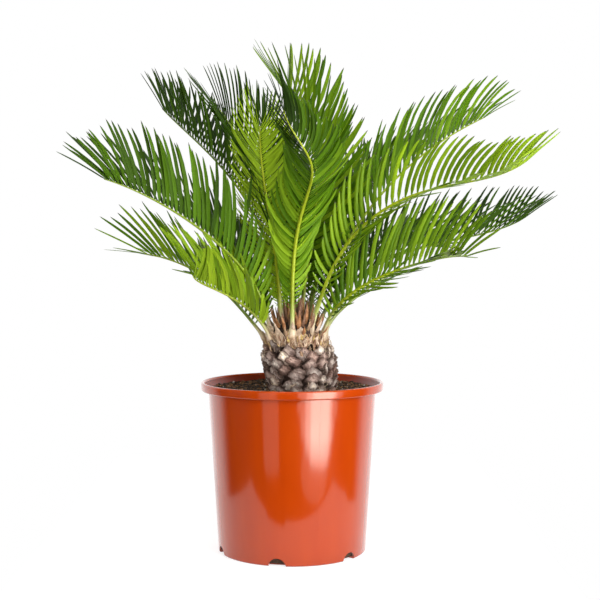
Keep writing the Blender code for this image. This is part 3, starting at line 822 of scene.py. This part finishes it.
def soil_mesh(materials):
    """The potting mix's body, down to the pot's floor."""
    shell = Shell()
    wall = SOIL_HIGH.x - 0.0005
    foot = wall - 0.0155
    rings = [
        circle(foot - 0.004, SOIL_LOW.z, SOIL_STEPS),
        circle(foot, SOIL_LOW.z + 0.005, SOIL_STEPS),
        circle(wall, SOIL_HIGH.z - 0.010, SOIL_STEPS),
    ]
    for ring in range(SOIL_RINGS):
        points = circle(wall * (1 - ring / SOIL_RINGS), 0, SOIL_STEPS)
        rings.append([Vector((point.x, point.y, soil_height(point.x, point.y))) for point in points])
    shell.loft(rings, lambda band, side: "soil", Vector((0, 0, soil_height(0, 0))))
    return shell.build("soil_body", materials, 180)


def grains_mesh(rng, materials):
    """Crumbs of mix, bark chips and white grains over the soil."""
    shell = Shell()
    lump = lump_points()
    wall = SOIL_HIGH.x - 0.004
    for _ in range(GRAINS):
        radius = wall * math.sqrt(rng.uniform(0.10, 1.0))
        azimuth = math.radians(rng.uniform(0, 360))
        x, y = radius * math.cos(azimuth), radius * math.sin(azimuth)
        if math.hypot(x - TRUNK_FOOT_X, y) < BARREL_RADIUS - 0.006:
            continue
        kind = rng.random()
        if kind < PERLITE_SHARE:
            look, size, thickness = "perlite", rng.uniform(0.0010, 0.0020), 0.0012
        elif kind < PERLITE_SHARE + CHIP_SHARE:
            look, size, thickness = "bark_chip", rng.uniform(0.0018, 0.0036), 0.0010
        else:
            look = rng.choice(("crumb_dark", "crumb_dark", "crumb_mid"))
            size = rng.uniform(0.0012, 0.0034)
            thickness = size * 0.8
        centre = Vector((x, y, soil_height(x, y) + min(size, thickness) * 0.35))
        flat = thickness / size if thickness < size else 0.8
        add_lump(shell, lump, centre, size, flat, look, rng)
    return shell.build("soil_grains", materials, 30)


def arc(centre, radius, start, end, steps):
    """Points on an arc in a profile, from one angle to another in degrees."""
    angles = [math.radians(blend(start, end, step / steps)) for step in range(steps + 1)]
    return [(centre[0] + radius * math.cos(angle), centre[1] + radius * math.sin(angle)) for angle in angles]


def pot_mesh(materials):
    """The pot: a tapered wall, a rolled rim and arched notches round the foot."""
    rim, top = POT_HIGH.x, POT_HIGH.z
    under = top - RIM_DEPTH
    profile = arc((BODY_BASE_RADIUS - BASE_CORNER, BASE_CORNER), BASE_CORNER, -90, 0, 6)
    profile += [(BODY_TOP_RADIUS - 0.0003, under - 0.006), (BODY_TOP_RADIUS, under - 0.002)]
    profile += arc((BODY_TOP_RADIUS + 0.002, under - 0.002), 0.002, 180, 90, 4)[1:]
    profile += arc((rim - 0.0022, under + 0.0018), 0.0018, -90, 0, 4)
    profile += [(rim, under + 0.007)]
    profile += arc((rim - 0.003, top - 0.003), 0.003, 0, 180, 10)
    inside = len(profile)
    inner_top = BODY_TOP_RADIUS - WALL
    profile += [(inner_top + 0.0022, under + 0.004), (inner_top, under - 0.002)]
    profile += [(BODY_BASE_RADIUS - WALL, BASE_CORNER + FLOOR_THICKNESS)]
    profile += [(BODY_BASE_RADIUS - WALL - BASE_CORNER, FLOOR_THICKNESS)]
    shell = Shell()
    rings = [circle(radius, height, POT_STEPS) for radius, height in profile]
    floor_middle = Vector((0, 0, FLOOR_THICKNESS))
    # The inner wall, from the rim's top down, takes a darker red: painted shade
    shell.loft(rings, lambda band, side: "pot_inside" if band >= inside - 1 else "pot", floor_middle)
    pot = shell.build("pot_body", materials)
    radius = (NOTCH_WIDTH ** 2 / 4 + NOTCH_HEIGHT ** 2) / (2 * NOTCH_HEIGHT)
    cutters = Shell()
    for number in range(NOTCH_COUNT):
        azimuth = NOTCH_FIRST_AZIMUTH + number * 360 / NOTCH_COUNT
        away = around(1.0, azimuth, 0)
        across = UPWARD.cross(away)
        centre = Vector((0, 0, NOTCH_HEIGHT - radius))
        high = Vector((0, 0, radius))
        ends = [oval(centre + away * reach, across * radius, high, 48) for reach in NOTCH_REACH]
        cutters.loft(ends, lambda band, side: "pot")
    cutter = cutters.build("notches", materials)
    cut = pot.modifiers.new("notches", "BOOLEAN")
    cut.operation = "DIFFERENCE"
    cut.object = cutter
    graph = bpy.context.evaluated_depsgraph_get()
    shape = bpy.data.meshes.new_from_object(pot.evaluated_get(graph))
    pot.modifiers.clear()
    pot.data = shape
    shape.set_sharp_from_angle(angle=math.radians(40))
    bpy.data.objects.remove(cutter, do_unlink=True)
    return pot


def seams_mesh(materials):
    """Two fine mould lines down the pot's wall."""
    shell = Shell()
    under = POT_HIGH.z - RIM_DEPTH
    for azimuth in SEAM_AZIMUTHS:
        away = around(1.0, azimuth, 0)
        across = UPWARD.cross(away)
        rings = []
        for step in range(13):
            height = blend(0.052, under - 0.004, step / 12)
            share = (height - BASE_CORNER) / (under - BASE_CORNER)
            radius = blend(BODY_BASE_RADIUS, BODY_TOP_RADIUS, share)
            centre = away * (radius - 0.0002) + Vector((0, 0, height))
            rings.append(oval(centre, across * 0.0004, away * 0.00045, 6))
        shell.loft(rings, lambda band, side: "pot")
    return shell.build("pot_seams", materials)


def shader_of(material):
    """The material's shader."""
    return material.node_tree.nodes["Principled BSDF"]


def new_material(name, colour, roughness, specular=0.5):
    """A Principled BSDF with a plain colour."""
    material = bpy.data.materials.new(name)
    material.use_nodes = True
    shader = shader_of(material)
    shader.inputs["Base Color"].default_value = (*colour, 1.0)
    shader.inputs["Roughness"].default_value = roughness
    shader.inputs["Specular IOR Level"].default_value = specular
    return material


def add_node(owner, kind, **settings):
    """A new node of a material or of the world."""
    node = owner.node_tree.nodes.new(kind)
    for key, value in settings.items():
        setattr(node, key, value)
    return node


def link(owner, source, output, target, socket):
    """A link from one node's output to another's socket."""
    owner.node_tree.links.new(source.outputs[output], target.inputs[socket])


def add_maths(material, operation, number):
    """A step of arithmetic whose second number is fixed."""
    node = add_node(material, "ShaderNodeMath", operation=operation)
    node.inputs[1].default_value = number
    return node


def add_ramp(material, stops):
    """A colour ramp through (place, colour) stops."""
    ramp = add_node(material, "ShaderNodeValToRGB")
    elements = ramp.color_ramp.elements
    while len(elements) < len(stops):
        elements.new(1.0)
    for element, (place, colour) in zip(elements, stops):
        element.position = place
        element.color = (*colour, 1.0)
    return ramp


def add_noise(material, scale, detail=4.0, roughness=0.6, stretch=None):
    """Noise in the object's own space, in cycles to the metre."""
    place = add_node(material, "ShaderNodeTexCoord")
    texture = add_node(material, "ShaderNodeTexNoise")
    texture.inputs["Scale"].default_value = scale
    texture.inputs["Detail"].default_value = detail
    texture.inputs["Roughness"].default_value = roughness
    if stretch:
        mapping = add_node(material, "ShaderNodeMapping")
        mapping.inputs["Scale"].default_value = stretch
        link(material, place, "Object", mapping, "Vector")
        link(material, mapping, "Vector", texture, "Vector")
    else:
        link(material, place, "Object", texture, "Vector")
    return texture


def add_bump(material, texture, strength, distance):
    """Relief on the shader's normal from a noise."""
    bump = add_node(material, "ShaderNodeBump")
    bump.inputs["Strength"].default_value = strength
    bump.inputs["Distance"].default_value = distance
    link(material, texture, "Fac", bump, "Height")
    link(material, bump, "Normal", shader_of(material), "Normal")


def rib_material(name, green):
    """A rib: cream at its swollen foot, then pale green, then its own yellow-green."""
    material = new_material(name, green, 0.38)
    attribute = add_node(material, "ShaderNodeAttribute", attribute_name="from_foot")
    grain = add_noise(material, 260)
    mix = add_maths(material, "MULTIPLY_ADD", 0.016)
    link(material, grain, "Fac", mix, 0)
    link(material, attribute, "Fac", mix, 2)
    spread = add_maths(material, "MULTIPLY", 10.0)
    link(material, mix, "Value", spread, 0)
    pale = tuple(blend(channel, cream, 0.35) for channel, cream in zip(green, (0.5, 0.5, 0.3)))
    dull = tuple(channel * 0.72 for channel in green)
    stops = ((0.0, (0.36, 0.22, 0.12)), (0.12, (0.66, 0.51, 0.35)), (0.24, (0.56, 0.49, 0.27)))
    ramp = add_ramp(material, stops + ((0.38, pale), (0.62, dull), (1.0, green)))
    link(material, spread, "Value", ramp, "Fac")
    link(material, ramp, "Color", shader_of(material), "Base Color")
    return material


def bark_material():
    """Old leaf bases: pale worn tops with some painted highlight, grey-brown sides, and dark gaps of painted
    shade.
    """
    material = new_material("bark", (0.16, 0.11, 0.09), 0.85)
    crest = add_node(material, "ShaderNodeAttribute", attribute_name="crest")
    tone = add_node(material, "ShaderNodeAttribute", attribute_name="tone")
    grain = add_noise(material, 380, 8, 0.8)
    uneven = add_maths(material, "MULTIPLY_ADD", 1.6)
    link(material, grain, "Fac", uneven, 0)
    link(material, crest, "Fac", uneven, 2)
    lower = add_maths(material, "SUBTRACT", 0.78)
    link(material, uneven, "Value", lower, 0)
    ramp = add_ramp(material, BARK_SHADING_AND_WEAR)
    link(material, lower, "Value", ramp, "Fac")
    tints = add_ramp(material, STUB_TINTS)
    link(material, tone, "Fac", tints, "Fac")
    product = add_node(material, "ShaderNodeMix", data_type="RGBA", blend_type="MULTIPLY")
    product.inputs[0].default_value = 1.0
    link(material, ramp, "Color", product, 6)
    link(material, tints, "Color", product, 7)
    link(material, product, 2, shader_of(material), "Base Color")
    add_bump(material, grain, 0.9, 0.0012)
    return material


def mottled_material(name, dark, light, scale, roughness, bump=0.4):
    """Two colours in fine noise, with relief."""
    material = new_material(name, light, roughness)
    grain = add_noise(material, scale, 5, 0.65)
    ramp = add_ramp(material, ((0.30, dark), (0.70, light)))
    link(material, grain, "Fac", ramp, "Fac")
    link(material, ramp, "Color", shader_of(material), "Base Color")
    add_bump(material, grain, bump, 0.0006)
    return material


def pot_material():
    """Glossy orange plastic, with faint upright waves from the mould."""
    material = new_material("pot", POT_ORANGE, 0.24, 0.12)
    shader_of(material).inputs["Coat Weight"].default_value = 1.0
    shader_of(material).inputs["Coat Roughness"].default_value = 0.11
    waves = add_noise(material, 9, 3, 0.5, (4.0, 4.0, 0.5))
    ramp = add_ramp(material, POT_TONES)
    link(material, waves, "Fac", ramp, "Fac")
    link(material, ramp, "Color", shader_of(material), "Base Color")
    fine = add_noise(material, 55, 4, 0.55, (1.0, 1.0, 0.25))
    add_bump(material, fine, 0.12, 0.0012)
    return material


def all_materials():
    """Every material, by its name in the meshes."""
    materials = {}
    for step in range(GREEN_STEPS + 1):
        share = step / GREEN_STEPS
        for side, greens, roughness, specular in LEAF_SIDES:
            look = f"{side}_{step:02d}"
            colour = through_colours(share, greens)
            materials[look] = new_material(f"leaf_{look}", colour, roughness, specular)
    for step in range(RIB_TONES + 1):
        look = f"rib_{step:02d}"
        materials[look] = rib_material(look, through_colours(step / RIB_TONES, RIB_GREENS))
    materials["bark"] = bark_material()
    for name, *look in MOTTLED:
        materials[name] = mottled_material(name, *look)
    materials["fibre"] = new_material("fibre", (0.46, 0.34, 0.23), 0.8)
    materials["pot"] = pot_material()
    # The same plastic in a darker red: painted shade inside the pot, under the rim and the plant
    materials["pot_inside"] = new_material("pot_inside", (0.250, 0.022, 0.003), 0.4)
    return materials


def add_camera():
    """The photograph's view: level with the crown, looking slightly down."""
    data = bpy.data.cameras.new("camera")
    data.sensor_width = SENSOR_WIDTH
    data.lens = FOCAL_PIXELS / IMAGE_SIZE * SENSOR_WIDTH
    down = math.atan((IMAGE_SIZE / 2 - HORIZON_PIXEL) / FOCAL_PIXELS)
    turn = (math.pi / 2 - down, 0, 0)
    bpy.context.scene.camera = add_object("camera", data, CAMERA_PLACE, turn)


def add_panel(name, place, size, radiance, turn, colour=(1, 1, 1)):
    """A rectangle of light at a place, turned from facing down."""
    data = bpy.data.lights.new(name, "AREA")
    data.shape = "RECTANGLE"
    data.size, data.size_y = size
    data.energy = radiance * math.pi * data.size * data.size_y
    data.color = colour
    return add_object(name, data, place, turn)


def add_softbox(name, azimuth, distance, low, high, width, radiance, colour=(1, 1, 1)):
    """An upright rectangle of light that faces the plant."""
    place = around(distance, azimuth, (low + high) / 2)
    turn = (math.pi / 2, 0, math.radians(azimuth + 90))
    return add_panel(name, place, (width, high - low), radiance, turn, colour)


def add_lights():
    """Softboxes and a panel overhead, and lights that show only as gloss on the pot."""
    for name, *place in SOFTBOXES:
        add_softbox(name, *place).visible_glossy = False
    add_panel("overhead", *OVERHEAD)
    for number, (azimuth, width, low, radiance) in enumerate(GLOSS_PANELS):
        name = f"gloss_{number}"
        panel = add_softbox(name, azimuth, GLOSS_DISTANCE, low, GLOSS_TOP, width, radiance, GLOSS_WHITE)
        panel.visible_diffuse = False
    turn = (math.pi, 0, math.radians(OVAL_AZIMUTH + 90))
    place = around(OVAL_DISTANCE, OVAL_AZIMUTH, OVAL_HEIGHT)
    panel = add_panel("floor_gloss_0", place, OVAL_SIZE, OVAL_RADIANCE, turn, GLOSS_WHITE)
    panel.data.shape = "ELLIPSE"
    panel.visible_diffuse = False


def add_world():
    """White to the camera, and to all else a room that is bright behind the plant and dark before it."""
    world = bpy.data.worlds.new("studio")
    world.use_nodes = True
    bpy.context.scene.world = world
    world.node_tree.nodes.clear()
    output = add_node(world, "ShaderNodeOutputWorld")
    place = add_node(world, "ShaderNodeTexCoord")
    split = add_node(world, "ShaderNodeSeparateXYZ")
    link(world, place, "Generated", split, "Vector")
    ramp = add_node(world, "ShaderNodeMapRange", interpolation_type="SMOOTHSTEP")
    ramp.inputs["From Min"].default_value, ramp.inputs["From Max"].default_value = ROOM_EDGES
    ramp.inputs["To Min"].default_value, ramp.inputs["To Max"].default_value = ROOM_BRIGHTNESS
    link(world, split, "Y", ramp, "Value")
    room = add_node(world, "ShaderNodeBackground")
    link(world, ramp, "Result", room, "Strength")
    white = add_node(world, "ShaderNodeBackground")
    for background in (room, white):
        background.inputs["Color"].default_value = (1, 1, 1, 1)
    path = add_node(world, "ShaderNodeLightPath")
    mix = add_node(world, "ShaderNodeMixShader")
    link(world, path, "Is Camera Ray", mix, "Fac")
    link(world, room, "Background", mix, 1)
    link(world, white, "Background", mix, 2)
    link(world, mix, "Shader", output, "Surface")


def add_floor():
    """A sheet under the pot, white to the camera but for the pot's shadow."""
    shell = Shell()
    rings = [[Vector((x, y, z)) for x, y in FLOOR_CORNERS] for z in FLOOR_HEIGHTS]
    shell.loft(rings, lambda band, side: "floor")
    material = new_material("floor", FLOOR_GREY, 0.9, 0.0)
    path = add_node(material, "ShaderNodeLightPath")
    glow = add_node(material, "ShaderNodeMapRange")
    glow.inputs["To Min"].default_value = FLOOR_GLOW
    glow.inputs["To Max"].default_value = 0.0
    link(material, path, "Is Diffuse Ray", glow, "Value")
    link(material, glow, "Result", shader_of(material), "Emission Strength")
    shader_of(material).inputs["Emission Color"].default_value = (1, 1, 1, 1)
    floor = shell.build("floor", {"floor": material})


def set_view():
    """Colours as they are, with no film look."""
    scene = bpy.context.scene
    scene.view_settings.view_transform = "Standard"
    scene.view_settings.look = "None"


def dress(piece, slot, *nodes):
    """Ride on the one body and stand for nodes, whose parts are hidden; slot is not used."""
    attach(piece, "root")
    if nodes:
        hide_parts(*nodes)


def frond_slot(node):
    """The record's material slot of a frond."""
    return next(part["material_slot"] for part in frame["record"]["subparts"] if part["node"] == node)


add_camera()
add_lights()
add_world()
add_floor()
set_view()
materials = all_materials()
ribs = [Rib(frond) for frond in FRONDS]
for number, rib in enumerate(ribs):
    node = f"frond_{rib.frond.name}"
    dress(leaflets_mesh(rib, random.Random(LEAFLET_SEED + number), materials), frond_slot(node), node)
    dress(rib_mesh(rib, materials), frond_slot(node), node)
dress(trunk_mesh(random.Random(1), materials), "trunk_bark", "trunk")
dress(crown_scales_mesh(random.Random(2), materials), "dry_scales", "crown_bud")
dress(leaf_bases_mesh(random.Random(3), materials), "dry_scales")
dress(fibres_mesh(random.Random(4), materials), "trunk_bark")
dress(soil_mesh(materials), "potting_soil", "soil")
dress(grains_mesh(random.Random(5), materials), "potting_soil")
dress(pot_mesh(materials), "pot_plastic", "pot")
dress(seams_mesh(materials), "pot_plastic")
